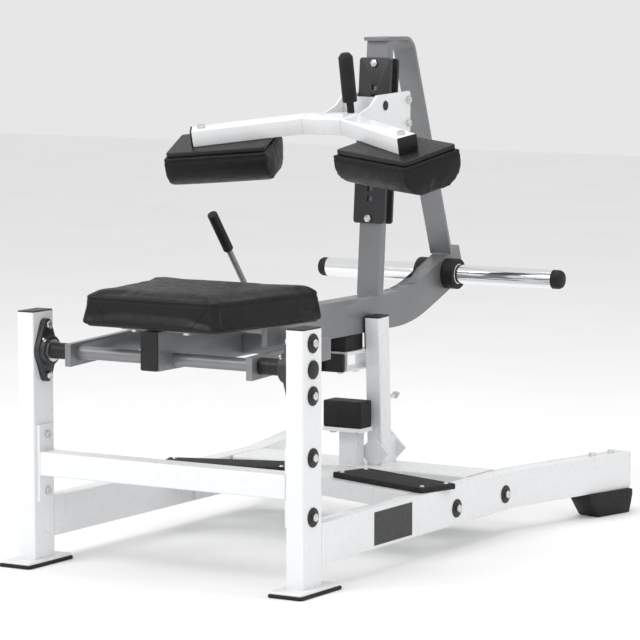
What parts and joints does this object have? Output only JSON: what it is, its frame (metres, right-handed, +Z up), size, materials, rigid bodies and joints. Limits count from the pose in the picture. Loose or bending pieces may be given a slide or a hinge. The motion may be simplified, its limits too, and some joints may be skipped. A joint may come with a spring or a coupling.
{
  "type": "seated calf raise machine",
  "caption": "Plate-loaded seated calf raise: a base of rectangular tube, a tilting seat lever on flange bearings, sliding knee pads on a leaning post, angled footplates and a swing-out catch",
  "frame": {"origin": "centre of the footprint's bounding box, on the floor", "axes": "+X user's right along the pivot shaft, +Y away from the seated user towards the weight horns, +Z up"},
  "size_m": [1.0072, 1.48, 1.2061],
  "materials": {
    "frame_paint": "gloss white powder coat",
    "lever_paint": "satin silver-grey metallic paint",
    "chrome": "polished chrome",
    "zinc": "bright zinc plate",
    "rubber": "matte black moulded rubber",
    "plastic": "matte black",
    "vinyl": "matte black upholstery vinyl",
    "grip_coat": "black anti-slip coating",
    "black_paint": "satin black"
  },
  "bodies": {
    "base": {"left_upright": "frame_paint", "right_upright": "frame_paint", "tube_caps": "plastic", "floor_plates": "frame_paint", "front_pads": "rubber", "front_crossbeam": "frame_paint", "beam_bolts": "zinc", "left_rail": "frame_paint", "right_rail": "frame_paint", "rail_end_caps": "frame_paint", "rear_feet": "rubber", "rail_bolts": "zinc", "foot_crossmember": "frame_paint", "rear_crossmember": "frame_paint", "left_footplate": "grip_coat", "right_footplate": "grip_coat", "footplate_screws": "zinc", "rear_post": "frame_paint", "post_wear_strip": "plastic", "post_gussets": "frame_paint", "post_bolts": "zinc", "bumper_column": "frame_paint", "lower_bumper": "rubber", "catch_bracket": "frame_paint", "name_plate": "black_paint", "bearing_housings": "black_paint", "bearing_bolts": "zinc", "discs_and_plugs": "plastic"},
    "lever": {"bearing_inserts": "zinc", "pivot_shaft": "lever_paint", "shaft_spacers": "plastic", "spine": "lever_paint", "spine_caps": "plastic", "side_arms": "lever_paint", "seat_frame": "lever_paint", "seat_board": "plastic", "seat_bolts": "zinc", "seat_cushion": "vinyl", "rest_pad": "rubber", "lever_post": "lever_paint", "top_strap": "lever_paint", "guide_plates": "black_paint", "guide_bolts": "zinc", "weight_horns": "chrome", "horn_collars": "rubber", "horn_caps": "rubber"},
    "pad_carriage": {"carriage": "frame_paint", "slide_blocks": "plastic", "yoke": "frame_paint", "carriage_caps": "plastic", "knee_pad_boards": "plastic", "left_knee_pad": "vinyl", "right_knee_pad": "vinyl", "hand_grip": "rubber", "carriage_bolts": "zinc"},
    "selector_pin": {"selector_pin": "zinc"},
    "catch": {"catch_arm": "black_paint", "catch_foot": "rubber", "catch_rod": "lever_paint", "catch_grip": "rubber"}
  },
  "joints": [
    {"name": "lever_swing", "type": "hinge", "parent": "base", "child": "lever", "pos_m": [0, -0.65, 0.502], "axis": [1, 0, 0], "range_deg": [0, 12]},
    {"name": "pad_height", "type": "slide", "parent": "lever", "child": "pad_carriage", "axis": [0, 0.0785, 0.9969], "range_m": [-0.15, 0.05]},
    {"name": "selector_pull", "type": "slide", "parent": "pad_carriage", "child": "selector_pin", "axis": [0, -0.9969, 0.0785], "range_m": [-0.009, 0]},
    {"name": "catch_swing", "type": "hinge", "parent": "lever", "child": "catch", "pos_m": [-0.037, 0.084, 0.527], "axis": [-1, 0, 0], "range_deg": [0, 25]}
  ]
}
